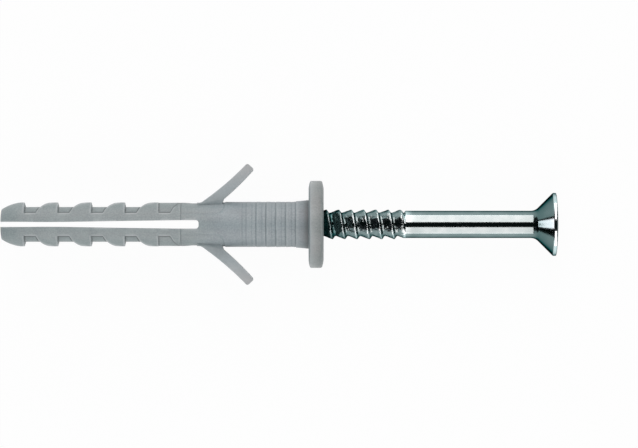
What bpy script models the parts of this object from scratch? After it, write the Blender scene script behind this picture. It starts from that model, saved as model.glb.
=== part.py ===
# Hammer fixing plug, 6 x 40 mm: a slotted nylon expansion plug with its nail screw started.
# Metres, +Z up. Both pieces are drawn along their own +X axis, the plug from its tip and
# the nail screw from its point, and then lie together on the collar's and the head's rim.

import math

import bmesh
import bpy

# Nail screw
nail_length = 0.0450
shank_radius = 0.00178
point_radius = 0.00040
point_length = 0.0032
thread_crest_radius = 0.00193
thread_root_radius = 0.00153
thread_pitch = 0.00161
thread_length = 0.02510
thread_crest_width = 0.00010
thread_steep_flank = 0.00030
thread_root_width = 0.00012
thread_runout = 0.00060
thread_clocking = 0.205
head_radius = 0.00415
head_rim_height = 0.00042
head_rim_chamfer = 0.00007
head_dome_height = 0.00026
head_fillet_radius = 0.0009

# Cross recess in the nail screw's head
recess_reach = 0.00220
recess_arm_width = 0.00113
recess_depth = 0.00200
recess_floor_reach = 0.00125
recess_floor_arm_width = 0.00080
recess_turn = math.radians(22.0)

# Clearances between the two pieces
bore_clearance = 0.00011
seat_clearance = 0.00007
point_gap = 0.00030

# Plug: collar, barrel and legs
plug_length = 0.0400
barrel_length = 0.01424
collar_wall = 0.00151
collar_thickness = 0.00180
collar_crown = 0.00015
collar_crown_inset = 0.00090
collar_corner_radius = 0.00030
collar_back_bevel = 0.00023
collar_back_bevel_width = 0.00090
barrel_wall = 0.00089
leg_radius = 0.00286
bore_setback = 0.00141
bore_cone_length = 0.00100
channel_root_radius = 0.00100
channel_tip_radius = 0.00070

# Plug: rounded nose
nose_length = 0.00260
nose_tip_radius = 0.00200
nose_edge = 0.00010
nose_shoulder = 0.00135
nose_shoulder_drop = 0.00008

# Plug: rings moulded round the barrel, and the flare into the collar
ring_pitch = 0.00128
ring_depth = 0.00006
ring_step = 0.00008
last_ring_to_collar = 0.00170
plain_barrel_length = 0.00270
flare_length = 0.00155
flare_rise = 0.00024

# Plug: slot between the legs
slot_tip_width = 0.00078
slot_root_width = 0.00110
slot_corner_radius = 0.00038

# Plug: barb pockets in each leg
first_pocket = 0.00300
pocket_pitch = 0.00436
pocket_wall_offset = 0.00148
pocket_draft = 0.00015
pocket_floor_length = 0.00162
pocket_slant_run = 0.00042
pocket_slant_rise = 0.00068
barb_back_length = 0.00145
barb_back_bulge = 0.00017
barb_corner = 0.00012
barb_skim = 0.00002
pocket_core_radius = 0.00227
last_pocket_core_radius = 0.00225
last_pocket_core_offset = 0.00057

# Plug: fold-down wings, one on each leg, and the recess at their roots
wing_setback = 0.00124
wing_root_sink = 0.00022
wing_heading = math.radians(36.5)
wing_turn = math.radians(11.0)
wing_reach = 0.00730
wing_root_thickness = 0.00146
wing_tip_thickness = 0.00120
wing_width = 0.00220
wing_fillet_radius = 0.00090
wing_outer_corner_radius = 0.00012
wing_inner_corner_radius = 0.00035
wing_web_start = 0.00190
wing_web_lean = 0.00030
recess_lead = 0.00231
recess_length = 0.00565
recess_wall_offset = 0.00128
recess_corner_radius = 0.00130
recess_core_radius = 0.00233
recess_core_offset = 0.00050

# Facets: with 22 sides both rims have a flat that faces straight down
round_sides = 22
arc_steps = 6
over = 0.0010

# Sizes and places that follow from the ones above, as distances from the plug's tip
seat_radius = head_radius + seat_clearance
collar_radius = seat_radius + collar_wall
bore_radius = thread_crest_radius + bore_clearance
barrel_radius = bore_radius + barrel_wall
collar_face = plug_length + collar_thickness + collar_crown
slot_end = plug_length - barrel_length
bore_end = slot_end + bore_setback
nail_point_x = bore_end + point_gap
wing_root_x = slot_end + wing_setback
recess_start = slot_end - recess_lead
recess_end = recess_start + recess_length
last_ring = plug_length - last_ring_to_collar

# As many pockets as end before the fold recess, and rings as fit on the barrel
pocket_reach = pocket_floor_length + pocket_slant_run
pocket_count = 1 + int((recess_start - first_pocket - pocket_reach) / pocket_pitch)
ring_count = 1 + int((last_ring - recess_end - plain_barrel_length) / ring_pitch)


def clear_scene():
    for item in list(bpy.data.objects):
        bpy.data.objects.remove(item, do_unlink=True)


def principled(name, colour, roughness, metallic):
    material = bpy.data.materials.new(name)
    material.use_nodes = True
    shader = material.node_tree.nodes["Principled BSDF"]
    shader.inputs["Base Color"].default_value = (*colour, 1.0)
    shader.inputs["Roughness"].default_value = roughness
    shader.inputs["Metallic"].default_value = metallic
    return material


def object_from(bm, name):
    bmesh.ops.recalc_face_normals(bm, faces=bm.faces)
    mesh = bpy.data.meshes.new(name)
    bm.to_mesh(mesh)
    bm.free()
    mesh.shade_smooth()
    mesh.set_sharp_from_angle(angle=math.radians(32.0))
    made = bpy.data.objects.new(name, mesh)
    bpy.context.scene.collection.objects.link(made)
    return made


# Outlines: lists of points in a plane

def arc(centre, radius, start, end, steps=arc_steps):
    points = []
    for step in range(steps + 1):
        angle = start + (end - start) * step / steps
        points.append((centre[0] + radius * math.cos(angle), centre[1] + radius * math.sin(angle)))
    return points


def bezier(first, handle, last, steps):
    points = []
    for step in range(steps + 1):
        t = step / steps
        weights = ((1.0 - t) ** 2, 2.0 * t * (1.0 - t), t * t)
        x = weights[0] * first[0] + weights[1] * handle[0] + weights[2] * last[0]
        y = weights[0] * first[1] + weights[1] * handle[1] + weights[2] * last[1]
        points.append((x, y))
    return points


# A corner (x, y, radius) of a closed outline becomes an arc that is tangent to both its sides.

def rounded(corners):
    points = []
    for index, (x, y, radius) in enumerate(corners):
        if radius == 0.0:
            points.append((x, y))
            continue
        before = corners[index - 1]
        after = corners[(index + 1) % len(corners)]
        to_before = math.atan2(before[1] - y, before[0] - x)
        to_after = math.atan2(after[1] - y, after[0] - x)
        spread = (to_after - to_before + math.pi) % (2.0 * math.pi) - math.pi
        middle = to_before + spread / 2.0
        reach = radius / abs(math.sin(spread / 2.0))
        centre = (x + reach * math.cos(middle), y + reach * math.sin(middle))
        swing = math.copysign((math.pi - abs(spread)) / 2.0, spread)
        facing = middle + math.pi
        points += arc(centre, radius, facing + swing, facing - swing)
    return points


# Solids

def turned(name, profile, sides):
    # A profile of (x, radius) that starts and ends on the X axis, spun round it.
    # The first line is half a facet off, so that a flat faces straight down.
    bm = bmesh.new()
    lean = math.pi / sides
    verts = []
    for x, radius in profile:
        verts.append(bm.verts.new((x, radius * math.sin(lean), -radius * math.cos(lean))))
    edges = [bm.edges.new(pair) for pair in zip(verts, verts[1:])]
    bmesh.ops.spin(bm, geom=verts + edges, axis=(1, 0, 0), angle=2.0 * math.pi, steps=sides)
    bmesh.ops.remove_doubles(bm, verts=bm.verts, dist=1e-7)
    return object_from(bm, name)


def prisms(name, outlines, half_height):
    # Closed outlines in the XY plane, each drawn along Z to both sides.
    bm = bmesh.new()
    for outline in outlines:
        floor = bm.faces.new([bm.verts.new((x, y, -half_height)) for x, y in outline])
        made = bmesh.ops.extrude_face_region(bm, geom=[floor])
        top = [item for item in made["geom"] if isinstance(item, bmesh.types.BMVert)]
        bmesh.ops.translate(bm, vec=(0, 0, 2.0 * half_height), verts=top)
    return object_from(bm, name)


def combine(target, other, operation):
    other.hide_render = True
    other.display_type = "WIRE"
    other.parent = target
    boolean = target.modifiers.new(other.name, "BOOLEAN")
    boolean.operation = operation
    boolean.solver = "EXACT"
    boolean.object = other


def mirrored(outline, side):
    return [(x, side * y) for x, y in outline]


# Plug

def plug_profile():
    profile = [(0.0, 0.0), (0.0, nose_tip_radius - 2.0 * nose_edge)]
    nose_start = (nose_edge, nose_tip_radius)
    nose_handle = (nose_shoulder, leg_radius - nose_shoulder_drop)
    profile += bezier(nose_start, nose_handle, (nose_length, leg_radius), 6)
    profile += [(slot_end, leg_radius), (recess_end, barrel_radius)]
    for ring in reversed(range(ring_count)):
        x = last_ring - ring * ring_pitch
        profile += [(x - ring_step, barrel_radius), (x, barrel_radius - ring_depth)]
        profile.append((x + ring_step, barrel_radius + ring_depth / 2.0))
    flare_start = plug_length - flare_length
    flare_end = (plug_length, barrel_radius + flare_rise)
    profile += bezier((flare_start, barrel_radius), (plug_length - flare_length / 2.0, barrel_radius),
                      flare_end, 3)
    profile.append((plug_length, collar_radius - collar_back_bevel_width))
    profile.append((plug_length + collar_back_bevel, collar_radius))
    corner = (plug_length + collar_thickness - collar_corner_radius,
              collar_radius - collar_corner_radius)
    profile += arc(corner, collar_corner_radius, math.pi / 2.0, 0.0)
    crown_edge = max(collar_radius - collar_crown_inset, seat_radius)
    profile += [(collar_face, crown_edge), (collar_face, 0.0)]
    return profile


def bore_profile():
    # From past the tip: guide channel, cone, bore and the 90 degree seat of the nail's head.
    profile = [(-over, 0.0), (-over, channel_tip_radius)]
    profile.append((0.0, channel_tip_radius))
    profile.append((bore_end - bore_cone_length, channel_root_radius))
    profile.append((bore_end, bore_radius))
    profile.append((collar_face - (seat_radius - bore_radius), bore_radius))
    profile.append((collar_face + over, seat_radius + over))
    profile.append((collar_face + over, 0.0))
    return profile


def slot_outline():
    tip = slot_tip_width / 2.0
    root = slot_root_width / 2.0
    radius = min(slot_corner_radius, 0.9 * root)
    return rounded([(-over, -tip, 0.0), (slot_end, -root, radius),
                    (slot_end, root, radius), (-over, tip, 0.0)])


def pocket_outline(start):
    # Seen along the mould's draw: steep face, floor line, slanted face and the barb's round back.
    outside = leg_radius + over
    ramp_x = start + pocket_reach
    ramp_y = pocket_wall_offset + pocket_slant_rise
    back_end = (ramp_x + barb_back_length, leg_radius + barb_skim)
    back_handle = (ramp_x + barb_back_length / 3.0, leg_radius - barb_back_bulge)
    corner_start = start - barb_corner - barb_skim
    outline = [(corner_start, outside), (corner_start, leg_radius + barb_skim)]
    outline += [(start, leg_radius - barb_corner), (start + pocket_draft, pocket_wall_offset)]
    outline.append((start + pocket_floor_length, pocket_wall_offset))
    outline += bezier((ramp_x, ramp_y), back_handle, back_end, 4)
    outline.append((back_end[0], outside))
    return outline


def fold_recess_outline():
    outside = barrel_radius + over
    return rounded([(recess_start, outside, 0.0), (recess_start, recess_wall_offset, 0.0),
                    (recess_end, recess_wall_offset, recess_corner_radius),
                    (recess_end, outside, 0.0)])


def carve(plug, name, outlines, core_radius, core_offset):
    # On each side of the slot, prisms drawn through the leg leave a round core standing.
    for side, word in ((1.0, "upper"), (-1.0, "lower")):
        cutter = prisms(f"{word}_{name}", [mirrored(line, side) for line in outlines],
                        barrel_radius + over)
        ends = (outlines[0][0][0] - over, outlines[-1][-1][0] + over)
        core = turned(f"{word}_{name}_core", [(ends[0], 0.0), (ends[0], core_radius),
                                              (ends[1], core_radius), (ends[1], 0.0)], round_sides)
        core.location = (0.0, side * core_offset, 0.0)
        combine(cutter, core, "DIFFERENCE")
        combine(plug, cutter, "DIFFERENCE")


def wing_centre(distance):
    # The wing's middle line is an arc that steepens from its root to its tip.
    bend_radius = wing_reach / wing_turn
    heading = wing_heading + distance / bend_radius
    x = wing_root_x + bend_radius * (math.sin(heading) - math.sin(wing_heading))
    y = leg_radius - wing_root_sink - bend_radius * (math.cos(heading) - math.cos(wing_heading))
    return x, y, heading


def wing_edge(distance, side):
    x, y, heading = wing_centre(distance)
    share = max(distance, 0.0) / wing_reach
    half = (wing_root_thickness + (wing_tip_thickness - wing_root_thickness) * share) / 2.0
    return x - side * half * math.sin(heading), y + side * half * math.cos(heading)


def wing_outline():
    # The inner side ends in a short web that drops almost straight into the leg.
    base = leg_radius - wing_root_sink / 8.0
    inside = leg_radius - wing_root_sink * 3.0
    outer_x, outer_y = wing_edge(0.0, 1.0)
    corner_x = outer_x - (outer_y - base) / math.tan(wing_heading)
    fillet_start = corner_x - wing_fillet_radius * math.tan(wing_heading / 2.0) - wing_root_sink
    web_x, web_y = wing_edge(wing_web_start, -1.0)
    corners = [(fillet_start, inside, 0.0), (fillet_start, base, 0.0)]
    corners.append((corner_x, base, wing_fillet_radius))
    stops = [wing_reach * step / arc_steps for step in range(1, arc_steps)]
    corners += [(*wing_edge(stop, 1.0), 0.0) for stop in stops]
    corners.append((*wing_edge(wing_reach, 1.0), wing_outer_corner_radius))
    corners.append((*wing_edge(wing_reach, -1.0), wing_inner_corner_radius))
    inner_stops = [stop for stop in reversed(stops) if stop > wing_web_start]
    corners += [(*wing_edge(stop, -1.0), 0.0) for stop in inner_stops]
    corners += [(web_x, web_y, 0.0), (web_x - wing_web_lean, inside, 0.0)]
    return rounded(corners)


def make_plug():
    plug = turned("plug", plug_profile(), round_sides)
    starts = [first_pocket + index * pocket_pitch for index in range(pocket_count)]
    outlines = [pocket_outline(start) for start in starts]
    carve(plug, "pockets", outlines[:-1], pocket_core_radius, 0.0)
    carve(plug, "last_pocket", outlines[-1:], last_pocket_core_radius, last_pocket_core_offset)
    carve(plug, "fold_recess", [fold_recess_outline()], recess_core_radius, recess_core_offset)
    wings = prisms("wing_blanks", [mirrored(wing_outline(), side) for side in (1.0, -1.0)],
                   wing_width / 2.0)
    combine(plug, wings, "UNION")
    combine(plug, prisms("slot", [slot_outline()], leg_radius + over), "DIFFERENCE")
    combine(plug, turned("bore", bore_profile(), round_sides), "DIFFERENCE")
    plug.data.materials.append(principled("grey_nylon", (0.310, 0.345, 0.361), 0.45, 0.0))
    return plug


# Nail screw

def thread_point(x, radius):
    # The thread's form at x, tapered at the point and faded out into the plain shank.
    if x <= 0.0:
        return 0.0, point_radius
    if x >= thread_length:
        return thread_length, shank_radius
    fade = min(1.0, (thread_length - x) / thread_runout)
    taper = point_radius + (thread_crest_radius - point_radius) * x / point_length
    return x, min(shank_radius + (radius - shank_radius) * fade, taper)


def thread_line(turn_share):
    # The thread cut by one half plane through the axis; the steep flank faces the head.
    half_crest = thread_crest_width / 2.0
    root_start = half_crest + thread_steep_flank
    form = [(-half_crest, thread_crest_radius), (half_crest, thread_crest_radius)]
    form += [(root_start, thread_root_radius), (root_start + thread_root_width, thread_root_radius)]
    line = []
    for turn in range(-2, math.ceil(thread_length / thread_pitch) + 2):
        crest = (turn + thread_clocking + turn_share) * thread_pitch
        line += [thread_point(crest + offset, radius) for offset, radius in form]
    return line


def head_line():
    rim_end = nail_length - head_dome_height
    rim_start = rim_end - head_rim_height
    cone_start = rim_start - (head_radius - shank_radius)
    tangent = head_fillet_radius * math.tan(math.pi / 8.0)
    centre = (cone_start - tangent, shank_radius + head_fillet_radius)
    line = arc(centre, head_fillet_radius, -math.pi / 2.0, -math.pi / 4.0, 3)
    line.append((rim_start - head_rim_chamfer, head_radius - head_rim_chamfer))
    line.append((rim_start + head_rim_chamfer, head_radius))
    line.append((rim_end - head_rim_chamfer, head_radius))
    dome_edge = head_radius - head_rim_chamfer
    dome_radius = (dome_edge ** 2 + head_dome_height ** 2) / (2.0 * head_dome_height)
    half_angle = math.asin(dome_edge / dome_radius)
    line += arc((nail_length - dome_radius, 0.0), dome_radius, half_angle, 0.0)
    return line


def nail_screw_body():
    # Lines along the nail, each a little further round and along the helix than the last.
    bm = bmesh.new()
    lines = []
    for step in range(round_sides + 1):
        share = step / round_sides
        angle = 2.0 * math.pi * share
        stations = [(0.0, 0.0)] + thread_line(share) + head_line()
        lines.append([bm.verts.new((x, radius * math.cos(angle), radius * math.sin(angle)))
                      for x, radius in stations])
    for line, following in zip(lines, lines[1:]):
        for index in range(len(line) - 1):
            bm.faces.new((line[index], line[index + 1], following[index + 1], following[index]))
    bmesh.ops.remove_doubles(bm, verts=bm.verts, dist=1e-7)
    return object_from(bm, "nail_screw")


def cross_section(reach, arm_width, x):
    half = arm_width / 2.0
    points = []
    for quarter in range(4):
        turn = recess_turn + quarter * math.pi / 2.0
        for along, across in ((reach, -half), (reach, half), (half, half)):
            y = along * math.cos(turn) - across * math.sin(turn)
            z = along * math.sin(turn) + across * math.cos(turn)
            points.append((x, y, z))
    return points


def cross_recess():
    # The driver's cross narrows from the head's face to its floor.
    taper_reach = (recess_reach - recess_floor_reach) / recess_depth
    taper_width = (recess_arm_width - recess_floor_arm_width) / recess_depth
    mouth = cross_section(recess_reach + taper_reach * over, recess_arm_width + taper_width * over,
                          nail_length + over)
    floor = cross_section(recess_floor_reach, recess_floor_arm_width, nail_length - recess_depth)
    bm = bmesh.new()
    rings = [[bm.verts.new(point) for point in ring] for ring in (floor, mouth)]
    bm.faces.new(rings[0])
    bm.faces.new(rings[1])
    count = len(floor)
    for index in range(count):
        after = (index + 1) % count
        bm.faces.new((rings[0][index], rings[0][after], rings[1][after], rings[1][index]))
    return object_from(bm, "cross_recess")


def make_nail_screw():
    nail = nail_screw_body()
    combine(nail, cross_recess(), "DIFFERENCE")
    nail.data.materials.append(principled("zinc_steel", (0.60, 0.68, 0.68), 0.22, 1.0))
    return nail


# Rest: the pair lies on the collar's and the head's rim, its tip a little raised

def resting_lean(plug_points, nail_points):
    lean = 0.0
    for _ in range(8):
        collar = max(plug_points, key=lambda p: p[0] * math.sin(lean) + p[1] * math.cos(lean))
        head = max(nail_points, key=lambda p: p[0] * math.sin(lean) + p[1] * math.cos(lean))
        lean = math.atan2(collar[1] - head[1], head[0] - collar[0])
    return lean


def lay_down(pieces, lean):
    rest = bpy.data.objects.new("rest", None)
    bpy.context.scene.collection.objects.link(rest)
    for piece in pieces:
        piece.parent = rest
    rest.rotation_euler = (0.0, lean, 0.0)
    bpy.context.view_layer.update()
    graph = bpy.context.evaluated_depsgraph_get()
    points = []
    for piece in pieces:
        solid = piece.evaluated_get(graph)
        points += [solid.matrix_world @ vert.co for vert in solid.data.vertices]
    low = [min(point[axis] for point in points) for axis in range(3)]
    high = [max(point[axis] for point in points) for axis in range(3)]
    rest.location = (-(low[0] + high[0]) / 2.0, -(low[1] + high[1]) / 2.0, -low[2])


clear_scene()
plug_piece = make_plug()
nail_piece = make_nail_screw()
nail_piece.location = (nail_point_x, 0.0, 0.0)
flat_share = math.cos(math.pi / round_sides)
collar_points = [(x, radius * flat_share) for x, radius in plug_profile() if x >= plug_length]
head_points = [(nail_point_x + x, radius * flat_share) for x, radius in head_line()]
lay_down([plug_piece, nail_piece], resting_lean(collar_points, head_points))
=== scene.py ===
import math

import bmesh
import bpy
import numpy as np
from mathutils import Matrix, Vector


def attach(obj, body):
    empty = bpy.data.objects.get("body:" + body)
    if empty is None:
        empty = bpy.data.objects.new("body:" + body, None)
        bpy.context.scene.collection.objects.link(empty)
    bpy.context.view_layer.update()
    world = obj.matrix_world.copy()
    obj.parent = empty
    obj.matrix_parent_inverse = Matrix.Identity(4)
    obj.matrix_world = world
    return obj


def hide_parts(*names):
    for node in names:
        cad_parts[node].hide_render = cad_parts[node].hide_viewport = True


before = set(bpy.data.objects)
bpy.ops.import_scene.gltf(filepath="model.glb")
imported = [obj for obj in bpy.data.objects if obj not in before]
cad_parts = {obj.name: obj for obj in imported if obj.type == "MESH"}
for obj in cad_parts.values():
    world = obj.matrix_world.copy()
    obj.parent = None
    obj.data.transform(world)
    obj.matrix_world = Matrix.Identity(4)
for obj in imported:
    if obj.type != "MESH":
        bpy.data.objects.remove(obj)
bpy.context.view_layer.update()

# How the pair lies: its lean towards the head, and where the plug's tip is
rest = {"lean": math.radians(2.921939), "tipX": -36.163, "tipZ": 7.780, "nailPoint": 27.47}
layDown = (Matrix.Scale(0.001, 4) @ Matrix.Translation((rest["tipX"], 0.0, rest["tipZ"]))
           @ Matrix.Rotation(rest["lean"], 4, "Y"))
roundShare = math.cos(math.pi / 22.0)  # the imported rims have 22 sides and lie on a flat


class Amount:
    # A number in a node tree: sums, products and the like of it become Math nodes
    def __init__(self, tree, socket):
        self.tree, self.socket = tree, socket

    def math(self, operation, *others, clamp=False):
        node = self.tree.nodes.new("ShaderNodeMath")
        node.operation, node.use_clamp = operation, clamp
        for place, value in zip(node.inputs, (self, *others)):
            if isinstance(value, Amount):
                self.tree.links.new(value.socket, place)
            else:
                place.default_value = value
        return Amount(self.tree, node.outputs[0])

    def __add__(self, other):
        return self.math("ADD", other)

    def __sub__(self, other):
        return self.math("SUBTRACT", other)

    def __mul__(self, other):
        return self.math("MULTIPLY", other)

    def __truediv__(self, other):
        return self.math("DIVIDE", other)

    def takenFrom(self, whole):
        return self.math("MULTIPLY_ADD", -1.0, whole)

    def least(self, other, blend=0.0):
        return self.math("SMOOTH_MIN", other, blend) if blend else self.math("MINIMUM", other)

    def most(self, other, blend=0.0):
        return self.math("SMOOTH_MAX", other, blend) if blend else self.math("MAXIMUM", other)

    def share(self):
        return self.math("ADD", 0.0, clamp=True)


def startTree(name, sizes):
    # A Geometry Nodes tree with a named input for each size, and its amounts by name
    tree = bpy.data.node_groups.new(name, "GeometryNodeTree")
    tree.interface.new_socket("Geometry", in_out="INPUT", socket_type="NodeSocketGeometry")
    tree.interface.new_socket("Geometry", in_out="OUTPUT", socket_type="NodeSocketGeometry")
    for label, size in sizes.items():
        socket = tree.interface.new_socket(label, in_out="INPUT", socket_type="NodeSocketFloat")
        socket.default_value = size
    tree.interface.new_socket("Material", in_out="INPUT", socket_type="NodeSocketMaterial")
    entry = tree.nodes.new("NodeGroupInput")
    amounts = {label: Amount(tree, entry.outputs[label]) for label in sizes}
    return tree, entry, amounts


def placeOf(tree):
    position = tree.nodes.new("GeometryNodeInputPosition")
    parts = tree.nodes.new("ShaderNodeSeparateXYZ")
    tree.links.new(position.outputs[0], parts.inputs[0])
    return [Amount(tree, parts.outputs[index]) for index in range(3)]


def movedTo(tree, geometry, x, y, z):
    place = tree.nodes.new("ShaderNodeCombineXYZ")
    for amount, socket in zip((x, y, z), place.inputs):
        tree.links.new(amount.socket, socket)
    setPlace = tree.nodes.new("GeometryNodeSetPosition")
    tree.links.new(geometry, setPlace.inputs["Geometry"])
    tree.links.new(place.outputs[0], setPlace.inputs["Position"])
    return setPlace.outputs[0]


def endTree(tree, entry, geometry):
    # Doubles merged, instances made real and the finish put on
    merge = tree.nodes.new("GeometryNodeMergeByDistance")
    merge.inputs["Distance"].default_value = 0.0006
    realize = tree.nodes.new("GeometryNodeRealizeInstances")
    finish = tree.nodes.new("GeometryNodeSetMaterial")
    leave = tree.nodes.new("NodeGroupOutput")
    tree.links.new(geometry, merge.inputs["Geometry"])
    tree.links.new(merge.outputs[0], realize.inputs[0])
    tree.links.new(realize.outputs[0], finish.inputs["Geometry"])
    tree.links.new(entry.outputs["Material"], finish.inputs["Material"])
    tree.links.new(finish.outputs[0], leave.inputs[0])


def runTree(item, tree, sizes, material):
    modifier = item.modifiers.new(tree.name, "NODES")
    modifier.node_group = tree
    for socket in tree.interface.items_tree:
        if socket.in_out == "INPUT" and socket.name in sizes:
            modifier[socket.identifier] = float(sizes[socket.name])
        elif socket.in_out == "INPUT" and socket.name == "Material":
            modifier[socket.identifier] = material
    makePlain(item)


def makePlain(item):
    # The evaluated shape becomes the object's own mesh, and its modifiers go
    bpy.context.view_layer.update()
    graph = bpy.context.evaluated_depsgraph_get()
    shape = bpy.data.meshes.new_from_object(item.evaluated_get(graph))
    item.modifiers.clear()
    item.data = shape


def newObject(name, bm):
    bmesh.ops.recalc_face_normals(bm, faces=bm.faces)
    shape = bpy.data.meshes.new(name)
    bm.to_mesh(shape)
    bm.free()
    item = bpy.data.objects.new(name, shape)
    bpy.context.scene.collection.objects.link(item)
    return item


def combine(item, tool, operation):
    boolean = item.modifiers.new(tool.name, "BOOLEAN")
    boolean.operation, boolean.solver, boolean.object = operation, "EXACT", tool
    makePlain(item)
    bpy.data.objects.remove(tool, do_unlink=True)


def arc(centre, radius, start, end, steps):
    angles = [start + (end - start) * step / steps for step in range(steps + 1)]
    return [(centre[0] + radius * math.cos(a), centre[1] + radius * math.sin(a)) for a in angles]


def bezier(first, handle, last, steps):
    points = []
    for step in range(steps + 1):
        t = step / steps
        points.append(tuple((1 - t) ** 2 * a + 2 * t * (1 - t) * b + t * t * c
                            for a, b, c in zip(first, handle, last)))
    return points


def rounded(corners, steps=8):
    # Each corner (x, y, radius) of a closed outline becomes an arc tangent to its two sides
    points = []
    for index, (x, y, radius) in enumerate(corners):
        if radius == 0.0:
            points.append((x, y))
            continue
        before, after = corners[index - 1], corners[(index + 1) % len(corners)]
        toBefore = math.atan2(before[1] - y, before[0] - x)
        toAfter = math.atan2(after[1] - y, after[0] - x)
        spread = (toAfter - toBefore + math.pi) % (2.0 * math.pi) - math.pi
        middle = toBefore + spread / 2.0
        reach = radius / abs(math.sin(spread / 2.0))
        centre = (x + reach * math.cos(middle), y + reach * math.sin(middle))
        swing = math.copysign((math.pi - abs(spread)) / 2.0, spread)
        facing = middle + math.pi
        points += arc(centre, radius, facing + swing, facing - swing, steps)
    return points


def lathe(bm, loop, angles, radii=True):
    # A profile of (x, radius) spun round X; a radius of nought is one point on the axis
    rings = []
    for x, radius in loop:
        if radius == 0.0:
            rings.append([bm.verts.new((x, 0.0, 0.0))])
            continue
        size = radius if radii else 1.0
        rings.append([bm.verts.new((x, size * math.cos(a), size * math.sin(a))) for a in angles])
    return rings


def joinRings(bm, rings, closed=False):
    pairs = list(zip(rings, rings[1:]))
    if closed:
        pairs.append((rings[-1], rings[0]))
    for first, second in pairs:
        count = max(len(first), len(second))
        for index in range(count):
            after = (index + 1) % count
            if len(first) == 1:
                bm.faces.new((first[0], second[index], second[after]))
            elif len(second) == 1:
                bm.faces.new((first[index], second[0], first[after]))
            else:
                bm.faces.new((first[index], second[index], second[after], first[after]))


# Shared finish effects: mottle and fine grain, and painted highlight along edges and painted shade in corners
def grainGroup():
    tree = bpy.data.node_groups.new("mouldedGrain", "ShaderNodeTree")
    for label, kind in (("Vector", "NodeSocketVector"), ("Grain scale", "NodeSocketFloat"),
                        ("Mottle scale", "NodeSocketFloat"), ("Streak", "NodeSocketFloat")):
        tree.interface.new_socket(label, in_out="INPUT", socket_type=kind)
    for label in ("Grain", "Mottle", "Streaks"):
        tree.interface.new_socket(label, in_out="OUTPUT", socket_type="NodeSocketFloat")
    entry, leave = tree.nodes.new("NodeGroupInput"), tree.nodes.new("NodeGroupOutput")
    drawn = tree.nodes.new("ShaderNodeVectorMath")
    drawn.operation = "MULTIPLY"
    stretch = tree.nodes.new("ShaderNodeCombineXYZ")
    stretch.inputs["Y"].default_value = stretch.inputs["Z"].default_value = 1.0
    tree.links.new(entry.outputs["Streak"], stretch.inputs["X"])
    tree.links.new(entry.outputs["Vector"], drawn.inputs[0])
    tree.links.new(stretch.outputs[0], drawn.inputs[1])
    plans = (("Grain", entry.outputs["Vector"], entry.outputs["Grain scale"], 3.0, 0.6),
             ("Mottle", entry.outputs["Vector"], entry.outputs["Mottle scale"], 3.0, 0.55),
             ("Streaks", drawn.outputs[0], entry.outputs["Grain scale"], 2.0, 0.5))
    for label, vector, scale, detail, roughness in plans:
        noise = tree.nodes.new("ShaderNodeTexNoise")
        noise.inputs["Detail"].default_value = detail
        noise.inputs["Roughness"].default_value = roughness
        tree.links.new(vector, noise.inputs["Vector"])
        tree.links.new(scale, noise.inputs["Scale"])
        tree.links.new(noise.outputs["Fac"], leave.inputs[label])
    return tree


def edgeGroup():
    # Turns a piece's edgeTone, -1 in corners to 1 on edges, into two masks: painted highlight along edges, broken
    # up by the mottle, and painted shade in corners
    tree = bpy.data.node_groups.new("edgeLightAndShade", "ShaderNodeTree")
    for label in ("Edge tone", "Breakup"):
        tree.interface.new_socket(label, in_out="INPUT", socket_type="NodeSocketFloat")
    for label in ("Edges", "Corners"):
        tree.interface.new_socket(label, in_out="OUTPUT", socket_type="NodeSocketFloat")
    entry, leave = tree.nodes.new("NodeGroupInput"), tree.nodes.new("NodeGroupOutput")
    tone, breakup = (Amount(tree, entry.outputs[label]) for label in ("Edge tone", "Breakup"))
    paintedHighlight = (tone * (breakup + 0.5)).share()
    paintedShade = (tone * -1.0).share()
    tree.links.new(paintedHighlight.socket, leave.inputs["Edges"])
    tree.links.new(paintedShade.socket, leave.inputs["Corners"])
    return tree


grain, edgeLightAndShade = grainGroup(), edgeGroup()


def mixColour(nodes, links, share, first, second, mode="MIX"):
    mix = nodes.new("ShaderNodeMix")
    mix.data_type, mix.blend_type = "RGBA", mode
    for value, place in ((share, mix.inputs[0]), (first, mix.inputs[6]), (second, mix.inputs[7])):
        if isinstance(value, Amount):
            links.new(value.socket, place)
        elif isinstance(value, bpy.types.NodeSocket):
            links.new(value, place)
        else:
            place.default_value = value
    return mix.outputs[2]


def startMaterial(name, plan):
    # Principled shader with the grain group on coordinates that run along the piece's axis
    material = bpy.data.materials.new(name)
    material.use_nodes = True
    tree = material.node_tree
    nodes, links = tree.nodes, tree.links
    coordinates = nodes.new("ShaderNodeTexCoord")
    alongAxis = nodes.new("ShaderNodeMapping")
    alongAxis.inputs["Rotation"].default_value = (0.0, -rest["lean"], 0.0)
    links.new(coordinates.outputs["Object"], alongAxis.inputs["Vector"])
    pattern = nodes.new("ShaderNodeGroup")
    pattern.node_tree = grain
    links.new(alongAxis.outputs[0], pattern.inputs["Vector"])
    for label in ("Grain scale", "Mottle scale", "Streak"):
        pattern.inputs[label].default_value = plan[label]
    tone = nodes.new("ShaderNodeAttribute")
    tone.attribute_name = "edgeTone"
    edges = nodes.new("ShaderNodeGroup")
    edges.node_tree = edgeLightAndShade
    links.new(tone.outputs["Fac"], edges.inputs["Edge tone"])
    links.new(pattern.outputs["Mottle"], edges.inputs["Breakup"])
    amounts = {label: Amount(tree, pattern.outputs[label]) for label in ("Grain", "Mottle", "Streaks")}
    amounts.update({label: Amount(tree, edges.outputs[label]) for label in ("Edges", "Corners")})
    return material, nodes["Principled BSDF"], amounts


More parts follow.
